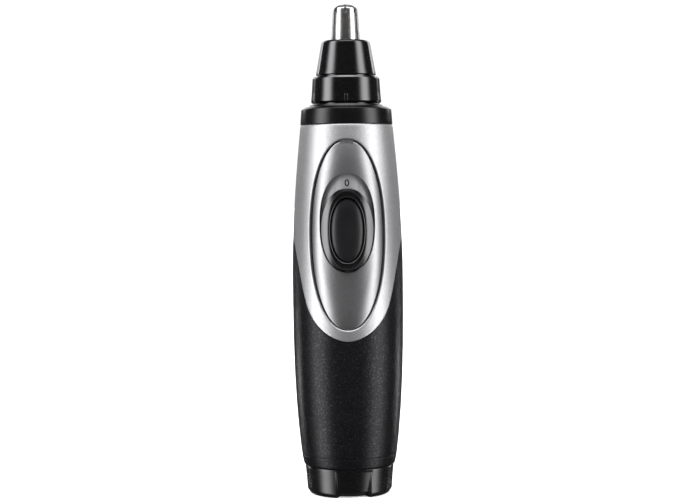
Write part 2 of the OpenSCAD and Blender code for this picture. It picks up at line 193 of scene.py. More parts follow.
def back_slot(index):
    """Field outside one of the exhaust slots stacked in the back of the upper shell."""
    centre_z, half_w = 97.0 + 2.2 * index, 4.5 - 0.4 * index

    def field(angle, z):
        x = body_radius(z) * (angle - math.pi)
        return np.where(np.cos(angle) < -0.5, -oval_inset(x, z - centre_z, half_w, 0.5, 4.0), FAR)
    return field


# ------------------------------------------------------------------ mesh tools
def make(name, verts, faces, part, slot, replaces=None, sharp=38, material=None):
    """Object from millimetre points, smooth-shaded, riding on a moving part."""
    mesh = bpy.data.meshes.new(name)
    mesh.from_pydata([tuple(float(c) * MM for c in v) for v in verts], [],
                     [tuple(int(i) for i in f) for f in faces])
    bm = bmesh.new()
    bm.from_mesh(mesh)
    bmesh.ops.remove_doubles(bm, verts=bm.verts, dist=1e-6)
    bmesh.ops.dissolve_degenerate(bm, edges=bm.edges, dist=1e-7)
    loose = [v for v in bm.verts if not v.link_faces]
    if loose:
        bmesh.ops.delete(bm, geom=loose, context="VERTS")
    bmesh.ops.recalc_face_normals(bm, faces=bm.faces)
    for face in bm.faces:
        face.smooth = True
    bm.to_mesh(mesh)
    bm.free()
    mesh.set_sharp_from_angle(angle=math.radians(sharp))
    obj = bpy.data.objects.new(name, mesh)
    bpy.context.scene.collection.objects.link(obj)
    mesh.materials.append(MATERIALS[material or slot])
    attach(obj, part)
    if replaces:
        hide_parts(replaces)
    return obj


def rounded(points, steps):
    """Closed outline of (a, b) or (a, b, corner radius), with steps per quarter turn."""
    out, count = [], len(points)
    for i, point in enumerate(points):
        radius = point[2] if len(point) > 2 else 0.0
        if radius <= 0:
            out.append((point[0], point[1]))
            continue
        corner = np.array(point[:2], float)
        to_last = np.array(points[i - 1][:2], float) - corner
        to_next = np.array(points[(i + 1) % count][:2], float) - corner
        last_len, next_len = np.linalg.norm(to_last), np.linalg.norm(to_next)
        to_last, to_next = to_last / last_len, to_next / next_len
        angle = math.acos(max(-1, min(1, float(to_last @ to_next))))
        if angle > math.pi - 0.02:
            out.append(tuple(corner))
            continue
        # the rounding may use at most about half of each side
        cut = min(radius / math.tan(angle / 2), 0.49 * last_len, 0.49 * next_len)
        radius = cut * math.tan(angle / 2)
        middle = (to_last + to_next) / np.linalg.norm(to_last + to_next)
        centre = corner + middle * (radius / math.sin(angle / 2))
        first, last = corner + to_last * cut - centre, corner + to_next * cut - centre
        start, end = math.atan2(first[1], first[0]), math.atan2(last[1], last[0])
        turn = (end - start + math.pi) % (2 * math.pi) - math.pi
        parts = max(2, int(round(steps * abs(turn) / (math.pi / 2))) + 1)
        for j in range(parts + 1):
            t = start + turn * j / parts
            out.append((centre[0] + radius * math.cos(t), centre[1] + radius * math.sin(t)))
    return out


def subdivide(points, step):
    """Closed outline with its sides split to at most this length."""
    out = []
    for i, point in enumerate(points):
        a, b = np.array(point, float), np.array(points[(i + 1) % len(points)], float)
        parts = max(1, int(math.ceil(np.linalg.norm(b - a) / step)))
        out += [tuple(a + (b - a) * j / parts) for j in range(parts)]
    return out


def full_turn(count):
    return np.arange(count) * 2 * math.pi / count


def revolve(profile, angles, warp=None):
    """Turns a closed (radius, z) outline round the axis; warp(angle, r, z) may move a point."""
    count, size = len(angles), len(profile)
    verts, faces = [], []
    for angle in angles:
        for r, z in profile:
            if warp:
                r, z = warp(angle, r, z)
            verts.append((r * math.sin(angle), -r * math.cos(angle), z))
    for i in range(count):
        a, b = i * size, ((i + 1) % count) * size
        for j in range(size):
            k = (j + 1) % size
            on_axis, next_on_axis = profile[j][0] < 1e-6, profile[k][0] < 1e-6
            if on_axis and next_on_axis:
                continue
            if on_axis:
                faces.append((a + j, b + k, a + k))
            elif next_on_axis:
                faces.append((a + j, b + j, a + k))
            else:
                faces.append((a + j, b + j, b + k, a + k))
    return verts, faces


def slope(field, u, v):
    """Change of a field per millimetre along the angle u and along v."""
    du, dv = 1e-3, 1e-2
    return ((field(u + du, v) - field(u - du, v)) / (2 * du * ANGLE_TO_MM),
            (field(u, v + dv) - field(u, v - dv)) / (2 * dv))


def step_towards(field, u, v, target):
    """One Newton step towards the line where the field has the target value."""
    miss = field(u, v) - target
    slope_u, slope_v = slope(field, u, v)
    square = slope_u ** 2 + slope_v ** 2 + 1e-9
    return u - miss * slope_u / square / ANGLE_TO_MM, v - miss * slope_v / square


def clip_grid(us, vs, field, wrap):
    """Points and faces of the (u, v) grid where field >= 1, cut along the line field = 1."""
    def inside(u, v):
        return field(u, v) - 1.0

    U, V = np.meshgrid(us, vs, indexing="ij")
    slope_u, slope_v = slope(inside, U, V)
    distance = inside(U, V) / (np.sqrt(slope_u ** 2 + slope_v ** 2) + 1e-9)
    cell = min(abs(us[1] - us[0]) * ANGLE_TO_MM, abs(vs[1] - vs[0]))
    # grid points near the line move onto it, which avoids slivers
    snap = np.abs(distance) < 0.33 * cell
    if not wrap:
        snap[0, :] = snap[-1, :] = False
    snap[:, 0] = snap[:, -1] = False
    for _ in range(3):
        moved_u, moved_v = step_towards(inside, U, V, 0.0)
        U, V = np.where(snap, moved_u, U), np.where(snap, moved_v, V)
    F = np.where(snap, 0.0, inside(U, V))
    points, index = [], {}

    def add(key, u, v):
        if key not in index:
            index[key] = len(points)
            points.append((u, v))
        return index[key]

    def cut(a, b):
        key = (min(a, b), max(a, b))
        if key in index:
            return index[key]
        ua, va, ub, vb = U[a], V[a], U[b], V[b]
        if wrap and abs(ua - ub) > math.pi:
            if ua < ub:
                ua += 2 * math.pi
            else:
                ub += 2 * math.pi
        low, high = 0.0, 1.0
        for _ in range(18):
            mid = (low + high) / 2
            value = float(inside(ua + (ub - ua) * mid, va + (vb - va) * mid))
            if (value > 0) == (F[a] > 0):
                low = mid
            else:
                high = mid
        return add(key, ua + (ub - ua) * low, va + (vb - va) * low)

    faces = []
    columns = len(us)
    for i in range(columns if wrap else columns - 1):
        i2 = (i + 1) % columns
        for j in range(len(vs) - 1):
            ring = [(i, j), (i2, j), (i2, j + 1), (i, j + 1)]
            if max(F[corner] for corner in ring) <= 1e-9:
                continue
            polygon = []
            for here, after in zip(ring, ring[1:] + ring[:1]):
                if F[here] >= 0:
                    polygon.append(add(here, U[here], V[here]))
                if max(F[here], F[after]) > 1e-12 and min(F[here], F[after]) < -1e-12:
                    polygon.append(cut(here, after))
            if len(polygon) >= 3:
                faces.append(polygon)
    return np.array(points), faces


def border_edges(faces):
    """Directed edges used by one face only."""
    edges = dict.fromkeys((a, f[(i + 1) % len(f)]) for f in faces for i, a in enumerate(f))
    return [(a, b) for a, b in edges if (b, a) not in edges]


def curved_plate(name, us, vs, limits, surface, thickness, part, slot, *, wrap=False,
                 replaces=None, edge_steps=4, lift=lambda u, v: 0.0, material=None):
    """Plate on a curved surface, bounded by outlines and rounded along them.

    limits lists (field, rounding width, rounding depth); surface(u, v, depth) gives points;
    thickness(u, v) and lift(u, v) are lengths under and over the surface.
    """
    def field(u, v):
        return np.minimum.reduce([f(u, v) / width for f, width, _ in limits])

    points, faces = clip_grid(us, vs, field, wrap)
    u, v = points[:, 0], points[:, 1]
    border = border_edges(faces)
    rim = sorted({a for edge in border for a in edge})
    rim_index = {a: k for k, a in enumerate(rim)}
    rim_u, rim_v = u[rim].copy(), v[rim].copy()
    nearest = np.argmin(np.stack([f(rim_u, rim_v) / width for f, width, _ in limits]), 0)
    depth = np.array([limits[k][2] for k in nearest])
    rings = []
    for k in range(1, edge_steps + 1):
        turn = math.pi / 2 * k / edge_steps
        for _ in range(4):
            rim_u, rim_v = step_towards(field, rim_u, rim_v, 1 - math.sin(turn))
        rings.append(surface(rim_u, rim_v, depth * (1 - math.cos(turn)) - lift(rim_u, rim_v)))
    rings.append(surface(rim_u, rim_v, np.maximum(thickness(rim_u, rim_v), depth + 0.02)))
    verts = [surface(u, v, -lift(u, v))] + rings + [surface(u, v, thickness(u, v))]

    first, count = len(points), len(rim)
    inner = first + count * len(rings)
    all_faces = [tuple(f) for f in faces]
    for a, b in border:
        chain = [(a, b)]
        for k in range(len(rings)):
            start = first + k * count
            chain.append((start + rim_index[a], start + rim_index[b]))
        chain.append((inner + a, inner + b))
        for (p, q), (p2, q2) in zip(chain[:-1], chain[1:]):
            all_faces.append((q, p, p2, q2))
    all_faces += [tuple(inner + i for i in reversed(f)) for f in faces]
    return make(name, np.concatenate(verts), all_faces, part, slot, replaces, material=material)


def uniform(thickness):
    return lambda u, v: np.full(np.shape(u), thickness)


def strip(start, next_start, count):
    """Quads between two rings of points."""
    return [(start + j, start + (j + 1) % count, next_start + (j + 1) % count, next_start + j)
            for j in range(count)]


def oval_outline(half_w, half_h, power, centre, count):
    t = (np.arange(count) + 0.5) * 2 * math.pi / count
    x = half_w * np.sign(np.cos(t)) * np.abs(np.cos(t)) ** (2 / power)
    z = half_h * np.sign(np.sin(t)) * np.abs(np.sin(t)) ** (2 / power)
    return x, z + centre


def oval_stack(rings):
    """Closed solid round the knob's centre from (half width, half height, level radius)."""
    levels, faces, count = [], [], KNOB_POINTS
    for half_w, half_h, level in rings:
        if half_w < 1e-6:
            levels.append(np.array([[0.0, -level, KNOB_CENTRE]]))
            continue
        x, z = oval_outline(half_w, half_h, 2.2, KNOB_CENTRE, count)
        levels.append(np.stack([x, -np.sqrt(np.maximum(level ** 2 - x ** 2, 0.01)), z], -1))
    starts = np.cumsum([0] + [len(points) for points in levels])
    for i in range(len(levels) - 1):
        p, q = starts[i], starts[i + 1]
        if len(levels[i]) == 1:
            faces += [(p, q + (j + 1) % count, q + j) for j in range(count)]
        elif len(levels[i + 1]) == 1:
            faces += [(p + j, p + (j + 1) % count, q) for j in range(count)]
        else:
            faces += strip(p, q, count)
    return from_switch(np.concatenate(levels)), faces


# ------------------------------------------------------------------ shader tools
def add_node(tree, kind, values, **settings):
    """Shader node with its settings; values maps inputs to numbers or to sockets to link."""
    node = tree.nodes.new("ShaderNode" + kind)
    for name, value in settings.items():
        setattr(node, name, value)
    set_inputs(tree, node, values)
    return node


def set_inputs(tree, node, values):
    for name, value in values.items():
        if isinstance(value, bpy.types.NodeSocket):
            tree.links.new(value, node.inputs[name])
        else:
            node.inputs[name].default_value = value


def start_material(name):
    """Material with an output and a Principled shader; also gives the object coordinates."""
    material = bpy.data.materials.new(name)
    material.use_nodes = True
    tree = material.node_tree
    tree.nodes.clear()
    output = add_node(tree, "OutputMaterial", {})
    shader = add_node(tree, "BsdfPrincipled", {})
    tree.links.new(shader.outputs[0], output.inputs[0])
    return material, tree, shader, add_node(tree, "TexCoord", {}).outputs["Object"]


def noise(tree, vector, scale, detail=3.0, roughness=0.55):
    return add_node(tree, "TexNoise", {"Scale": scale, "Detail": detail, "Roughness": roughness,
                                       "Vector": vector}).outputs[0]


def ramp(tree, source, colours, span=(0.3, 0.7)):
    node = add_node(tree, "ValToRGB", {0: source})
    for element, position, colour in zip(node.color_ramp.elements, span, colours):
        element.position = position
        element.color = (*colour, 1)
    return node.outputs[0]


def remap(tree, source, low, high, span=(0.3, 0.7)):
    """Maps the source's span to low..high."""
    return add_node(tree, "MapRange",
                    {1: span[0], 2: span[1], 3: low, 4: high, 0: source}).outputs[0]


def combine(tree, operation, a, b):
    return add_node(tree, "Math", {0: a, 1: b}, operation=operation).outputs[0]


def bump(tree, height, strength, distance):
    return add_node(tree, "Bump", {"Strength": strength, "Distance": distance,
                                   "Height": height}).outputs[0]


def scaled(colour, factor):
    return tuple(c * factor for c in colour)


# ------------------------------------------------------------------ material kinds
def flake_paint(name, colour, metallic, rough, flake, flake_scale, coat=0.0, coat_rough=0.12,
                vary=0.03, mottle=900.0, specular=0.5, glint=None, tilt=0.05):
    """Paint with fine flakes that differ in tone, gloss and tilt.

    flake and vary are the change of tone from flake to flake and over larger patches;
    glint is (share, colour) of bare metal flakes.
    """
    material, tree, shader, position = start_material(name)
    cells = add_node(tree, "TexVoronoi", {"Scale": flake_scale, "Vector": position}, feature="F1")
    random = add_node(tree, "SeparateColor", {0: cells.outputs["Color"]}).outputs
    tone = remap(tree, random[0], 1 - flake, 1 + flake, (0, 1))
    patches = remap(tree, noise(tree, position, mottle, 4.0), 1 - vary, 1 + vary)
    tone = combine(tree, "MULTIPLY", tone, patches)
    paint = add_node(tree, "VectorMath", {0: colour, "Scale": tone}, operation="SCALE").outputs[0]
    set_inputs(tree, shader, {
        "Roughness": remap(tree, random[1], rough - 0.05, rough + 0.05, (0, 1)),
        "Normal": bump(tree, random[2], tilt, 0.00003),
        "Metallic": metallic, "Coat Weight": coat, "Coat Roughness": coat_rough,
        "Specular IOR Level": specular})
    if glint:
        share, bare_colour = glint
        bare = ramp(tree, random[0], ((0, 0, 0), (1, 1, 1)), (1 - share - 0.02, 1 - share + 0.02))
        tree.links.new(bare, shader.inputs["Metallic"])
        paint = add_node(tree, "Mix", {0: bare, 6: paint, 7: (*bare_colour, 1)},
                         data_type="RGBA").outputs[2]
    tree.links.new(paint, shader.inputs["Base Color"])
    return material


def moulded(name, colour, rough, grain, grain_height, grain_strength, specular=0.5):
    """Moulded plastic or rubber: fine grain, small changes of tone and gloss."""
    material, tree, shader, position = start_material(name)
    fine = noise(tree, position, grain, 5.0, 0.6)
    broad = noise(tree, position, 120.0)
    set_inputs(tree, shader, {
        "Base Color": ramp(tree, broad, (scaled(colour, 0.88), scaled(colour, 1.12))),
        "Roughness": combine(tree, "ADD", remap(tree, broad, rough * 0.92, rough * 1.08),
                             remap(tree, fine, -0.03, 0.03)),
        "Normal": bump(tree, fine, grain_strength, grain_height),
        "Coat Weight": 0.0, "Coat Roughness": 0.1, "IOR": 1.5,
        "Specular IOR Level": specular})
    return material


def metal(name, colour, rough, stretch, scale, streak, anisotropic=0.0, relief=0.04):
    """Bare metal with fine marks; they run along the axis where stretch is small."""
    material, tree, shader, position = start_material(name)
    mapping = add_node(tree, "Mapping", {"Scale": stretch, "Vector": position})
    marks = noise(tree, mapping.outputs[0], scale, 4.0, 0.6)
    broad = noise(tree, position, 220.0)
    tones = (scaled(colour, 1 - streak), scaled(colour, 1 + streak * 0.6))
    set_inputs(tree, shader, {
        "Base Color": ramp(tree, marks, tones),
        "Roughness": combine(tree, "ADD", remap(tree, marks, rough * 0.85, rough * 1.2),
                             remap(tree, broad, -0.02, 0.03)),
        "Normal": bump(tree, marks, relief, 0.00002),
        "Metallic": 1.0, "Anisotropic": anisotropic})
    return material


def banded(name, colour, dark, rough, pitch, metallic, along, dark_share):
    """Regular bands along an axis, such as stacked laminations or wound wire."""
    material, tree, shader, position = start_material(name)
    wave = add_node(tree, "TexWave", {"Scale": 0.31 / pitch, "Distortion": 0.3, "Detail": 1.0,
                                      "Vector": position},
                    wave_type="BANDS", bands_direction=along, wave_profile="SIN").outputs[1]
    dirt = noise(tree, position, 1500.0)
    bands = ramp(tree, wave, (dark, colour), (dark_share, 0.8))
    mix = add_node(tree, "Mix", {0: 0.5, 6: bands,
                                 7: ramp(tree, dirt, ((0.7, 0.7, 0.7), (1, 1, 1)))},
                   data_type="RGBA", blend_type="MULTIPLY")
    set_inputs(tree, shader, {
        "Base Color": mix.outputs[2],
        "Roughness": remap(tree, dirt, rough - 0.05, rough + 0.08),
        "Normal": bump(tree, wave, 0.5, pitch * 0.3),
        "Metallic": metallic})
    return material


def grain(scale, height, strength):
    """Grain values of a moulded surface; the height is in metres."""
    return dict(grain=scale, grain_height=height, grain_strength=strength)


def drawn(stretch, scale, streak):
    """Mark values of a bare metal."""
    return dict(stretch=stretch, scale=scale, streak=streak)


RECIPES = {
    "silver_paint": (flake_paint, dict(colour=(0.312, 0.313, 0.314), metallic=1.0, rough=0.50,
                                       flake=0.14, flake_scale=6500.0)),
    "silver_panel": (flake_paint, dict(colour=(0.196, 0.196, 0.198), metallic=1.0, rough=0.40,
                                       flake=0.12, flake_scale=6800.0)),
    # lighter, less metallic copy of the panel's silver: painted light that brightens the switch's
    # recessed floor, which the window's lip shades
    "silver_floor": (flake_paint, dict(colour=(0.225, 0.225, 0.228), metallic=0.70, rough=0.46,
                                       flake=0.12, flake_scale=6800.0)),
    "black_flake": (flake_paint, dict(colour=(0.0022, 0.0023, 0.0027), metallic=0.0, rough=0.36,
                                      flake=0.75, flake_scale=4200.0, coat_rough=0.30, vary=0.12,
                                      mottle=1500.0, specular=0.12,
                                      glint=(0.10, (0.030, 0.031, 0.034)), tilt=0.10)),
    "black_satin": (moulded, dict(colour=(0.0017, 0.0017, 0.0019), rough=0.25, specular=0.24,
                                  **grain(2400.0, 0.00003, 0.10))),
    "black_gloss": (moulded, dict(colour=(0.0013, 0.0013, 0.0015), rough=0.14,
                                  **grain(900.0, 0.00001, 0.05))),
    "cover_satin": (moulded, dict(colour=(0.0017, 0.0017, 0.0019), rough=0.25, specular=0.36,
                                  **grain(2400.0, 0.000008, 0.10))),
    "pad_black": (moulded, dict(colour=(0.0022, 0.0023, 0.0028), rough=0.36, specular=0.3,
                                **grain(3200.0, 0.00004, 0.18))),
    "cutter_steel": (metal, dict(colour=(0.40, 0.393, 0.383), rough=0.225, anisotropic=0.2,
                                 relief=0.03, **drawn((1, 1, 0.05), 5200.0, 0.06))),
    # dark steel tone, darkened further as painted shade for the cutter's inside seen through the
    # slots
    "blade_steel": (metal, dict(colour=(0.30, 0.30, 0.31), rough=0.24,
                                **drawn((0.1, 1, 1), 5200.0, 0.15))),
    "spring_steel": (metal, dict(colour=(0.60, 0.60, 0.61), rough=0.22,
                                 **drawn((1, 1, 0.2), 5000.0, 0.12))),
    "seal_rubber": (moulded, dict(colour=(0.012, 0.012, 0.012), rough=0.62,
                                  **grain(3000.0, 0.00005, 0.3))),
    "chassis_plastic": (moulded, dict(colour=(0.055, 0.055, 0.06), rough=0.5,
                                      **grain(2000.0, 0.00006, 0.3))),
    "white_plastic": (moulded, dict(colour=(0.76, 0.75, 0.70), rough=0.42,
                                    **grain(1800.0, 0.00005, 0.2))),
    "motor_steel": (metal, dict(colour=(0.56, 0.57, 0.58), rough=0.28,
                                **drawn((1, 1, 0.08), 3800.0, 0.14))),
    "magnet": (moulded, dict(colour=(0.05, 0.048, 0.046), rough=0.7,
                             **grain(1600.0, 0.0001, 0.6))),
    "bronze": (moulded, dict(colour=(0.42, 0.27, 0.13), rough=0.45,
                             **grain(2600.0, 0.0001, 0.6))),
    "contact_brass": (metal, dict(colour=(0.80, 0.60, 0.28), rough=0.26,
                                  **drawn((1, 1, 0.06), 4200.0, 0.12))),
    "contact_steel": (metal, dict(colour=(0.70, 0.69, 0.66), rough=0.20,
                                  **drawn((1, 1, 1), 3000.0, 0.10))),
    "copper": (banded, dict(colour=(0.72, 0.30, 0.12), dark=(0.30, 0.10, 0.04), rough=0.30,
                            pitch=0.00022, metallic=1.0, along="Z", dark_share=0.2)),
    "core_steel": (banded, dict(colour=(0.40, 0.40, 0.41), dark=(0.12, 0.12, 0.12), rough=0.40,
                                pitch=0.0005, metallic=1.0, along="Z", dark_share=0.25)),
    "fan_plastic": (moulded, dict(colour=(0.55, 0.57, 0.55), rough=0.38,
                                  **grain(1800.0, 0.00005, 0.2))),
    "filter_mesh": (banded, dict(colour=(0.72, 0.73, 0.72), dark=(0.35, 0.36, 0.36), rough=0.55,
                                 pitch=0.00035, metallic=0.0, along="X", dark_share=0.2)),
    "cell_jacket": (flake_paint, dict(colour=(0.10, 0.24, 0.19), metallic=0.55, rough=0.34,
                                      flake=0.15, flake_scale=4000.0, coat=0.4, coat_rough=0.1,
                                      vary=0.05)),
    "screw_steel": (metal, dict(colour=(0.55, 0.55, 0.56), rough=0.26,
                                **drawn((1, 1, 1), 4200.0, 0.12))),
}
MATERIALS = {name: kind(name, **values) for name, (kind, values) in RECIPES.items()}


def paint_cad_pieces():
    slots = {piece["node"]: piece["material_slot"] for piece in frame["record"]["subparts"]}
    for node, obj in frame["nodes"].items():
        obj.data.materials.clear()
        obj.data.materials.append(MATERIALS[slots[node]])
        for polygon in obj.data.polygons:
            polygon.material_index = 0


# ------------------------------------------------------------------ outer shells
SHELL_ANGLES = full_turn(264)


def upper_shell():
    # the rows are finer across the slots in the back
    rows = np.concatenate([np.linspace(TONGUE_Z - 1.2, 95.9, 66), np.arange(96.2, 104.4, 0.16),
                           np.linspace(105.0, TOP_Z + 1.2, 12)])
    opening = panel_oval(PANEL_HALF_W + PANEL_GAP, PANEL_HALF_H + PANEL_GAP * 0.5)
    limits = [(silver_field, 0.22, 0.20), (negate(opening), 0.22, 0.20),
              (lambda u, v: TOP_Z - v + 0 * u, 0.35, 0.28)]
    limits += [(back_slot(i), 0.12, 0.12) for i in range(4)]
    curved_plate("upper_shell_skin", SHELL_ANGLES, rows, limits, body_point, uniform(WALL),
                 "housing", "silver_paint", wrap=True, replaces="upper_shell")


def lower_shell():
    rows = np.concatenate([np.linspace(FOOT_Z - 1.0, 14, 44),
                           np.linspace(14.8, COLOUR_LINE_Z + 2.6, 84)])
    limits = [(lambda u, v: -silver_field(u, v) - 0.05, 0.20, 0.16),
              (lambda u, v: v - FOOT_Z + 0 * u, 0.55, 0.42)]
    curved_plate("lower_shell_skin", SHELL_ANGLES, rows, limits, body_point, uniform(WALL),
                 "housing", "black_flake", wrap=True, replaces="lower_shell")


# ------------------------------------------------------------------ oval panel and its tab
panel_field = panel_oval(PANEL_HALF_W, PANEL_HALF_H)


def panel_thickness(angle, z):
    """Over the slider only a lip is left, in front of the hollow's cylinder."""
    x, y, local_z = np.moveaxis(to_switch(body_point(angle, z)), -1, 0)
    room = oval_inset(x, local_z + 0.4, 9.4, 16.6, 2.3)
    lip = np.sqrt(x ** 2 + y ** 2) - HOLLOW_R
    return np.where(room > 0, np.clip(lip, 0.30, WALL), WALL)


def panel_pillow(angle, z):
    """The panel's face rolls off towards its edge."""
    inset = np.clip(panel_field(angle, z) / 3.2, 0, 1)
    return 0.06 - 0.50 * (1 - inset) ** 2


def oval_panel():
    rows = np.linspace(PANEL_Z - PANEL_HALF_H - 0.8, PANEL_Z + PANEL_HALF_H + 0.8, 116)
    curved_plate("oval_panel_face", np.linspace(-1.02, 1.02, 110), rows,
                 [(panel_field, 0.20, 0.20), (window_field, 0.15, 0.13)],
                 body_point, panel_thickness, "housing", "silver_panel",
                 replaces="oval_panel", edge_steps=5, lift=panel_pillow)


TAB_OUTLINE = [(-1.8, 107.9), (1.8, 107.9), (2.15, 106.75), (-2.15, 106.75)]    # x, z
TAB_FACE_DEPTH, TAB_BACK_DEPTH, TAB_CHAMFER = 0.22, 1.45, 0.12


def latch_tab():
    """Small chamfered plate at the top of the oval."""
    def front_point(x, z, depth):
        return body_point(math.asin(x / float(body_radius(z))), z, depth)

    outline = subdivide(TAB_OUTLINE, 0.45)
    centre = np.mean(outline, 0)
    count = len(outline)
    verts, faces = [], []
    for shrink, depth in ((0.0, TAB_BACK_DEPTH), (0.0, TAB_FACE_DEPTH + TAB_CHAMFER),
                          (TAB_CHAMFER, TAB_FACE_DEPTH)):
        for x, z in outline:
            to_x, to_z = centre[0] - x, centre[1] - z
            length = math.hypot(to_x, to_z)
            verts.append(front_point(x + to_x / length * shrink, z + to_z / length * shrink,
                                     depth))
    for k in range(2):
        faces += strip(k * count, (k + 1) * count, count)
    for start, depth in ((2 * count, TAB_FACE_DEPTH), (0, TAB_BACK_DEPTH)):
        verts.append(front_point(*centre, depth))
        middle = len(verts) - 1
        faces += [(start + j, start + (j + 1) % count, middle) for j in range(count)]
    make("panel_latch_tab", verts, faces, "housing", "silver_panel")


# ------------------------------------------------------------------ slide switch
RIDGE_HEIGHT, RIDGE_SLOPE, RIDGE_ROUND = 0.14, 0.17, 1.2


def ridge_fold(x):
    """Distance from the ridge line, rounded off near it."""
    return np.sqrt(RIDGE_ROUND ** 2 + x ** 2) - RIDGE_ROUND


def floor_lift(angle, z):
    """The floor is ridged down its middle and stands up to the panel's lip past the window."""
    x = np.abs(FLOOR_R * np.sin(angle))
    near, far = np.minimum(x, 3.2), np.clip(x - 3.2, 0, 2.3)
    ridge = RIDGE_HEIGHT - RIDGE_SLOPE * ridge_fold(near) - 0.03 * far
    t = smooth((-window_inset(15.6 * np.sin(angle), z) - 0.02) / 0.35)
    return ridge * (1 - t) + 0.60 * t


def switch_floor():
    def outline(angle, z):
        inset = oval_inset(FLOOR_R * np.sin(angle), z + 0.4, 9.2, 16.2, 2.3)
        return front_only(angle, inset)

    # the floor takes the lightened copy of the panel's silver, painted light against the shade of
    # the window's lip
    curved_plate("switch_floor_dish", np.linspace(-0.72, 0.72, 130),
                 np.linspace(-17.4, 16.6, 150), [(outline, 0.2, 0.15)],
                 switch_surface(FLOOR_R), uniform(0.7), "housing", "silver_panel",
                 replaces="switch_floor", lift=floor_lift, material="silver_floor")


def panel_level(angle, z):
    """Radius of the body's surface in the switch frame, found by repeated substitution."""
    radius = np.full(np.shape(angle), 16.4)
    c, s = math.cos(SWITCH_TILT), math.sin(SWITCH_TILT)
    for _ in range(4):
        x, y = radius * np.sin(angle), -radius * np.cos(angle)
        body_z = -s * y + c * z + SWITCH_Z
        body_y = -np.sqrt(np.maximum(body_radius(body_z) ** 2 - x ** 2, 1.0))
        radius = np.sqrt(x ** 2 + ((body_y - s * z) / c) ** 2)
    return radius


def slider_field(angle, z):
    """Inside the window both here and with the slider moved up by its travel of 4 mm."""
    x = 16.2 * np.sin(angle)
    return np.minimum(window_inset(x, z), window_inset(x, z + 4.0)) - 0.10


def slider_lift(angle, z):
    """Nearly flush with the panel at the window's edge, rising a little to the knob."""
    rise = 0.22 * np.clip(slider_field(angle, z), 0, 2.4)
    return panel_level(angle, z) - 0.30 + rise - SLIDER_R


def slider_plate():
    curved_plate("slider_plate_face", np.linspace(-0.60, 0.60, 90), np.linspace(-15.6, 11.2, 110),
                 [(slider_field, 0.16, 0.14)], switch_surface(SLIDER_R), uniform(0.6),
                 "switch", "black_gloss", replaces="slider_plate", edge_steps=5,
                 lift=slider_lift)


# outside of the knob: half width, half height, level radius
KNOB_SIDE = [(0, 0, 15.76), (2, 4.2, 15.76), (5.9, 11.9, 15.76), (6.02, 12.02, 15.86),
             (6.02, 12.02, 16.6), (6.0, 12.0, 17.3), (5.98, 11.98, 17.62)]
# rim and dished inside of the knob: half width, level radius
KNOB_DISH = [(5.74, 17.89), (5.42, 17.88), (5.35, 17.84), (5.27, 17.76), (5.19, 17.65),
             (5.11, 17.52), (5.05, 17.38), (5.01, 17.2), (4.98, 16.97), (4.9, 16.88)]


def switch_knob():
    rings = list(KNOB_SIDE)
    for t in np.linspace(0, 1, 7)[1:]:
        inward = 0.09 * (1 - math.cos(t * math.pi / 2))
        rings.append((5.98 - inward, 11.98 - 1.6 * inward,
                      17.72 + 0.14 * math.sin(t * math.pi / 2)))
    for half_w, level in KNOB_DISH:
        rings.append((half_w, half_w + 4.45 + 0.55 * max(0.0, half_w - 5.5), level))
    rings += [(2.0, 4.0, 16.88), (0, 0, 16.88)]
    verts, faces = oval_stack(rings)
    make("switch_knob_rim", verts, faces, "switch", "black_gloss", "switch_knob", 32)


# foot of the pad: half width, half height, level radius
PAD_FOOT = [(0, 0, 16.9), (2.0, 4.0, 16.9), (4.72, 9.15, 16.9), (4.8, 9.23, 16.98),
            (4.8, 9.23, 17.08)]
# rings of the domed face, as shares of its half width
PAD_SHARES = (0.995, 0.985, 0.97, 0.945, 0.91, 0.87, 0.82, 0.76, 0.69, 0.6, 0.5, 0.38, 0.25,
              0.12, 0)


def thumb_pad():
    dome = [(4.8 * q, 4.8 * q + 4.43 * q, 17.10 + 0.52 * (1 - q ** 4)) for q in PAD_SHARES]
    verts, faces = oval_stack(PAD_FOOT + dome)
    make("thumb_pad_face", verts, faces, "switch", "pad_black", "thumb_pad", 32)


def off_mark():
    """The 0 on the recessed floor above the knob: a thin printed ring."""
    levels, faces, count = [], [], 48
    # half width, half height, lift over the floor
    for half_w, half_h, lift in ((0.68, 1.0, -0.05), (0.68, 1.0, 0.05),
                                 (0.36, 0.66, 0.05), (0.36, 0.66, -0.05)):
        x, z = oval_outline(half_w, half_h, 2.3, 12.1, count)
        level = FLOOR_R + RIDGE_HEIGHT - RIDGE_SLOPE * ridge_fold(x) + lift
        levels.append(np.stack([x, -np.sqrt(level ** 2 - x ** 2), z], -1))
    for i in range(4):
        faces += strip(i * count, ((i + 1) % 4) * count, count)
    make("off_mark", from_switch(np.concatenate(levels)), faces, "housing", "black_satin")


# ------------------------------------------------------------------ collar, head ring and cone
# closed sections: radius, z, corner radius
COLLAR = [(8.9, 106.3, 0.1), (10.3, 106.3, 0.1), (10.3, 116.8), (11.5, 116.8), (11.5, 109),
          (12.6, 109, 0.1), (12.6, 112.75), (14.22, 112.75, 0.18), (14.12, 114.6),
          (13.9, 117.45, 0.32), (12.8, 118.2, 0.5), (11.5, 118.32), (11.26, 118.84, 0.03),
          (10.95, 118.9, 0.04), (8.9, 118.9, 0.2)]
HEAD_RING = [(7.4, 112.4, 0.15), (8.5, 112.4, 0.1), (8.8, 112.7), (8.8, 116.5), (8.3, 116.5),
             (8.3, 117.4), (8.8, 117.4), (8.8, 119.2), (10.25, 119.2, 0.12), (10.62, 119.5, 0.2),
             (10.86, 119.85, 0.25), (10.62, 122.4), (10.34, 126.9, 0.03), (10.10, 127.42, 0.04),
             (9.85, 127.5, 0.05), (8.3, 127.5, 0.1), (8.3, 119.8), (7.4, 119.8)]
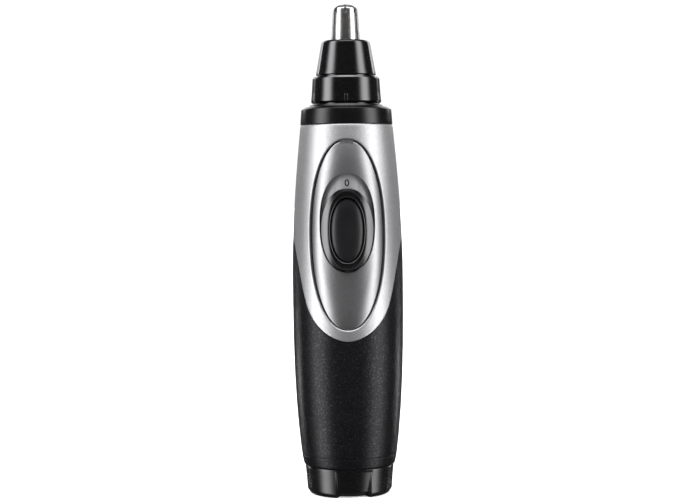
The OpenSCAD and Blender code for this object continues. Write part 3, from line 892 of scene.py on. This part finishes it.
HEAD_CONE = [(7.2, 122.5, 0.1), (8.25, 122.5, 0.1), (8.25, 127.85), (8.95, 127.85, 0.15),
             (9.28, 128.15, 0.3), (7.68, 137.35, 0.6), (7.52, 138.1, 0.45), (7.05, 138.62, 0.4),
             (5.4, 138.7, 0.3), (4.75, 138.35, 0.3), (4.47, 137.8), (5.9, 137.8), (5.9, 136.6),
             (6.2, 136.5), (7.6, 128.6), (7.2, 128)]
MARK_OFFSETS = (0.56, 0.50, 0.45, 0.40, 0.34, 0.2)    # x of the extra columns at the mark


def body_collar():
    verts, faces = revolve(subdivide(rounded(COLLAR, 6), 1.6), full_turn(200))
    make("body_collar_ring", verts, faces, "housing", "black_satin", "body_collar", 36)


def press_mark(angle, r, z):
    """Shallow upright alignment mark at the front of the head ring."""
    if r > 10.2 and 119.0 < z < 126 and math.cos(angle) > 0:
        across = smooth((0.52 - abs(r * math.sin(angle))) / 0.12)
        along = smooth((121.75 - z) / 0.25) * smooth((z - 119.35) / 0.25)
        r -= 0.16 * across * along
    return r, z


def head_ring():
    angles = [t for t in full_turn(200) if 0.06 < t < 2 * math.pi - 0.06] + [0.0]
    for x in MARK_OFFSETS:
        angles += [math.asin(x / 10.7) % (2 * math.pi), -math.asin(x / 10.7) % (2 * math.pi)]
    section = subdivide(subdivide(rounded(HEAD_RING, 7), 0.9), 0.45)
    verts, faces = revolve(section, sorted(angles), press_mark)
    make("head_ring_shell", verts, faces, "head", "black_gloss", "head_ring", 36)


def head_cone():
    verts, faces = revolve(subdivide(rounded(HEAD_CONE, 7), 1.2), full_turn(200))
    make("head_cone_shell", verts, faces, "head", "black_gloss", "head_cone", 36)


# ------------------------------------------------------------------ outer cutter
# open profiles of the drawn steel cap: radius, z; a straight wall joins each foot to its tip
CAP_OUTER_FOOT = [(5.85, 137.75), (4.75, 137.75), (4.5, 137.8), (4.42, 137.95), (4.40, 138.4),
                  (4.39, 139.2)]
CAP_OUTER_TIP = [(3.90, 148.2), (3.875, 148.42), (3.80, 148.66), (3.66, 148.86), (3.45, 149.03),
                 (3.15, 149.2), (2.75, 149.4), (2.3, 149.59), (1.8, 149.76), (1.3, 149.88),
                 (0.8, 149.96), (0.4, 149.99), (0, 150.0)]
CAP_INNER_FOOT = [(5.85, 136.9), (4.0, 136.9), (3.98, 137.1), (3.97, 137.5), (3.96, 138.2),
                  (3.95, 139.2)]
CAP_INNER_TIP = [(3.50, 148.05), (3.48, 148.2), (3.42, 148.36), (3.30, 148.5), (3.12, 148.64),
                 (2.86, 148.8), (2.52, 148.98), (2.15, 149.15), (1.72, 149.31), (1.3, 149.43),
                 (0.8, 149.51), (0.4, 149.545), (0, 149.55)]
CAP_WALL_HEIGHT, CAP_WALL_STEPS = 8.4, 18
SLOT_COUNT, SLOT_HALF_W, SLOT_END_R = 8, 0.38, 1.3
STEPS_BETWEEN_SLOTS = 9
SLOT_FIRST_STEP = 17                           # step of the straight wall where the slots begin


def cap_profile(foot, draw, tip):
    """draw is the radius the straight wall loses on its way up."""
    r, z = foot[-1]
    wall = [(r - draw * t, z + CAP_WALL_HEIGHT * t)
            for t in np.linspace(0, 1, CAP_WALL_STEPS + 1)[1:]]
    return foot + wall + tip


def cap_sheet(profile):
    """Rows of points whose columns keep the slots equally wide down to SLOT_END_R."""
    verts = []
    pitch = 2 * math.pi / SLOT_COUNT
    for r, z in profile:
        half = math.asin(SLOT_HALF_W / max(r, SLOT_END_R))
        for i in range(SLOT_COUNT):
            middle = i * pitch
            angles = [middle - half]
            angles += [middle + half + (pitch - 2 * half) * j / STEPS_BETWEEN_SLOTS
                       for j in range(STEPS_BETWEEN_SLOTS)]
            verts += [(r * math.sin(t), -r * math.cos(t), z) for t in angles]
    return verts


def outer_cutter():
    outer = cap_profile(CAP_OUTER_FOOT, 0.46, CAP_OUTER_TIP)
    inner = cap_profile(CAP_INNER_FOOT, 0.42, CAP_INNER_TIP)
    slot_start = len(CAP_OUTER_FOOT) - 1 + SLOT_FIRST_STEP
    slot_end = [r for r, _ in outer].index(SLOT_END_R)
    per_slot = STEPS_BETWEEN_SLOTS + 1
    count = SLOT_COUNT * per_slot
    quads = []
    for i in range(len(outer) - 1):
        for c in range(count):
            if c % per_slot == 0 and slot_start <= i < slot_end:
                continue
            after = (c + 1) % count
            quads.append((i * count + c, i * count + after,
                          (i + 1) * count + after, (i + 1) * count + c))
    verts = cap_sheet(outer)
    back = len(verts)
    faces = quads + [tuple(back + a for a in reversed(q)) for q in quads]
    faces += [(b, a, back + a, back + b) for a, b in border_edges(quads)]
    cap = make("outer_cutter_cap", verts + cap_sheet(inner), faces, "head", "cutter_steel",
               "outer_blade", 40)
    bevel = cap.modifiers.new("edge", "BEVEL")
    bevel.width, bevel.segments = 0.00005, 2
    bevel.limit_method, bevel.angle_limit = "ANGLE", math.radians(50)
    bevel.harden_normals = False


# ------------------------------------------------------------------ battery cover
# closed section: radius, z, corner radius
COVER = [(9.7, 2.0), (9.7, 13.5, 0.15), (10.8, 13.5, 0.15), (10.8, 10.1), (10.3, 10.1),
         (10.3, 9.3), (10.8, 9.3), (10.8, 8.72), (13.60, 8.72, 0.22), (13.56, 8.1), (13.27, 5.25),
         (13.07, 2.8), (12.95, 1.25, 1.0), (12.1, 0.0, 0.7), (0, 0), (0, 2.0)]
# the three grip recesses: first and last angle in degrees
RECESSES = [tuple(math.radians(a) for a in pair) for pair in ((-19, 31), (101, 151), (221, 272))]
RECESS_TOP_Z, RECESS_LOW_Z = 8.35, 1.5
RECESS_TOP_R, RECESS_LOW_R, RECESS_UNDERCUT = 13.2, 11.45, 2.4
RECESS_EDGE = math.radians(1.2)                # angle over which a recess's side drops


def recess_radius(z):
    if z >= RECESS_LOW_Z:
        share = (z - RECESS_LOW_Z) / (RECESS_TOP_Z - RECESS_LOW_Z)
        return RECESS_LOW_R + (RECESS_TOP_R - RECESS_LOW_R) * share
    return RECESS_LOW_R - RECESS_UNDERCUT * ((RECESS_LOW_Z - z) / RECESS_LOW_Z)


def recess_mask(angle):
    """1 inside a grip recess, 0 outside."""
    return max(smooth((t - first) / RECESS_EDGE + 0.1) * smooth((last - t) / RECESS_EDGE + 0.1)
               for first, last in RECESSES for t in (angle, angle - 2 * math.pi))


def press_recess(angle, r, z):
    # the cover's inside and the middle of its foot stay as they are
    if r > 8.7 and z < RECESS_TOP_Z - 0.02 and not (r < 11 and z > 1.9):
        fade = smooth((RECESS_TOP_Z - z) / 0.30)
        r = r - (r - min(r, recess_radius(z))) * recess_mask(angle) * fade
    return r, z


def battery_cover():
    angles = list(full_turn(168))
    for first, last in RECESSES:
        for edge, inward in ((first, 1), (last, -1)):
            for degrees in (-0.5, -0.15, 0.15, 0.5, 0.85, 1.2):
                angles.append((edge + inward * math.radians(degrees)) % (2 * math.pi))
    angles = sorted(set(round(float(t), 5) for t in angles))
    verts, faces = revolve(subdivide(rounded(COVER, 7), 0.55), angles, press_recess)
    make("battery_cover_shell", verts, faces, "cover", "black_satin", "battery_cover", 42,
         material="cover_satin")


# ------------------------------------------------------------------ studio
CAMERA_YAW = 0.0                               # degrees the camera and light stand round
FLOOR_GLOW = 0.40
LIGHT = dict(left=9.8, right=8.6, strip=5.0, low_strip=34.0, back=1.8, low_back=0.9,
             top=11.0, low_front=0.62, fill=0.09)
BACKDROP = 1.10                                # what the camera sees behind everything


def studio_floor():
    material = bpy.data.materials.new("studio_floor")
    material.use_nodes = True
    tree = material.node_tree
    position = add_node(tree, "TexCoord", {}).outputs["Object"]
    set_inputs(tree, tree.nodes["Principled BSDF"], {
        "Base Color": ramp(tree, noise(tree, position, 6.0),
                           ((0.90, 0.90, 0.90), (0.92, 0.92, 0.92))),
        "Roughness": 0.7, "Specular IOR Level": 0.0,
        "Emission Color": (1, 1, 1, 1), "Emission Strength": FLOOR_GLOW})
    mesh = bpy.data.meshes.new("studio_floor")
    left, right, near, far, z = -5, 5, -3, 9, -0.0002
    mesh.from_pydata([(left, near, z), (right, near, z), (right, far, z), (left, far, z)], [],
                     [(0, 1, 2, 3)])
    floor = bpy.data.objects.new("studio_floor", mesh)
    bpy.context.scene.collection.objects.link(floor)
    mesh.materials.append(material)
    floor.visible_glossy = False


def studio_world():
    """Soft boxes painted on the sky by direction; azimuth 0 is -Y and grows towards +X."""
    world = bpy.data.worlds.new("studio")
    bpy.context.scene.world = world
    world.use_nodes = True
    tree = world.node_tree

    def calc(operation, *values):
        return add_node(tree, "Math", dict(enumerate(values)), operation=operation).outputs[0]

    def bell(source, centre, width, power):
        """Flat-topped hump: exp(-(distance / width) ^ power)."""
        share = calc("DIVIDE", calc("ABSOLUTE", calc("SUBTRACT", source, centre)), width)
        return calc("POWER", 2.71828, calc("MULTIPLY", calc("POWER", share, power), -1.0))

    def step_up(source, start, end):
        return add_node(tree, "MapRange", {1: start, 2: end, 3: 0.0, 4: 1.0, 0: source},
                        interpolation_type="SMOOTHSTEP").outputs[0]

    def between(source, rise, fall):
        return calc("MULTIPLY", step_up(source, *rise),
                    calc("SUBTRACT", 1.0, step_up(source, *fall)))

    def glow(across, upward, strength):
        return calc("MULTIPLY", calc("MULTIPLY", across, upward), strength)

    direction = add_node(tree, "TexCoord", {}).outputs["Generated"]
    x, y, z = add_node(tree, "SeparateXYZ", {0: direction}).outputs
    degrees = 180 / math.pi
    azimuth = calc("MULTIPLY", calc("ARCTAN2", x, calc("MULTIPLY", y, -1.0)), degrees)
    azimuth = calc("SUBTRACT", azimuth, CAMERA_YAW)
    up = calc("MULTIPLY", calc("ARCSINE", z), degrees)
    either_side = calc("ABSOLUTE", azimuth)
    down = calc("MULTIPLY", up, -1.0)

    # angles in degrees
    lights = [glow(bell(azimuth, centre=centre, width=15.3, power=3.0),
                   bell(up, centre=8, width=48, power=4.0), strength)
              for centre, strength in ((-66, LIGHT["left"]), (66, LIGHT["right"]))]
    lights += [
        # a strip behind on each side, and a low narrow one
        glow(bell(either_side, centre=136, width=4.2, power=3.0),
             between(up, rise=(5, 11), fall=(28, 40)), LIGHT["strip"]),
        glow(bell(either_side, centre=131.5, width=3.0, power=3.0),
             between(down, rise=(6.4, 8.2), fall=(9.7, 10.6)), LIGHT["low_strip"]),
        # pale backdrop and its lower part
        glow(step_up(either_side, 136, 146),
             between(up, rise=(5, 11), fall=(30, 42)), LIGHT["back"]),
        glow(step_up(either_side, 160, 172),
             between(down, rise=(-9, -3), fall=(20, 32)), LIGHT["low_back"]),
        # overhead box, low front light and an even fill
        glow(bell(azimuth, centre=0, width=58, power=4.0),
             bell(up, centre=58, width=13, power=4.0), LIGHT["top"]),
        glow(bell(azimuth, centre=0, width=50, power=4.0),
             between(down, rise=(2, 6), fall=(13, 17)), LIGHT["low_front"]),
        calc("ADD", LIGHT["fill"], 0.0),
    ]
    total = lights[0]
    for light in lights[1:]:
        total = calc("ADD", total, light)
    camera_ray = add_node(tree, "LightPath", {}).outputs["Is Camera Ray"]
    seen = add_node(tree, "Mix", {0: camera_ray, 2: total, 3: BACKDROP}, data_type="FLOAT")
    set_inputs(tree, tree.nodes["Background"],
               {0: (0.985, 0.980, 1.0, 1), 1: seen.outputs[0]})
    world.cycles.sampling_method = "MANUAL"
    world.cycles.sample_map_resolution = 1024


def key_light():
    light = bpy.data.lights.new("key_overhead", "AREA")
    light.shape, light.energy = "RECTANGLE", 0.3
    light.size, light.size_y = 0.5, 0.4
    obj = bpy.data.objects.new("key_overhead", light)
    bpy.context.scene.collection.objects.link(obj)
    obj.location = (0.05, -0.15, 0.75)
    aim = Vector((0, 0, 0.06)) - obj.location
    obj.rotation_euler = aim.to_track_quat("-Z", "Y").to_euler()
    obj.visible_glossy = False


def camera():
    data = bpy.data.cameras.new("camera")
    obj = bpy.data.objects.new("camera", data)
    bpy.context.scene.collection.objects.link(obj)
    data.sensor_width, data.lens = 36.0, 78.37
    data.shift_y = -0.0823
    data.clip_start, data.clip_end = 0.02, 20.0
    yaw = Matrix.Rotation(math.radians(CAMERA_YAW), 4, "Z")
    aim = Euler((math.radians(90), math.radians(0.55), 0)).to_matrix().to_4x4()
    obj.matrix_world = yaw @ Matrix.Translation((0.00091, -0.470, 0.0920)) @ aim
    scene = bpy.context.scene
    scene.camera = obj
    scene.view_settings.view_transform = "Standard"
    scene.view_settings.look = "None"


# ------------------------------------------------------------------ build
paint_cad_pieces()
for build in (upper_shell, lower_shell, oval_panel, latch_tab,
              switch_floor, slider_plate, switch_knob, thumb_pad, off_mark,
              body_collar, head_ring, head_cone, outer_cutter, battery_cover,
              studio_floor, studio_world, key_light, camera):
    build()
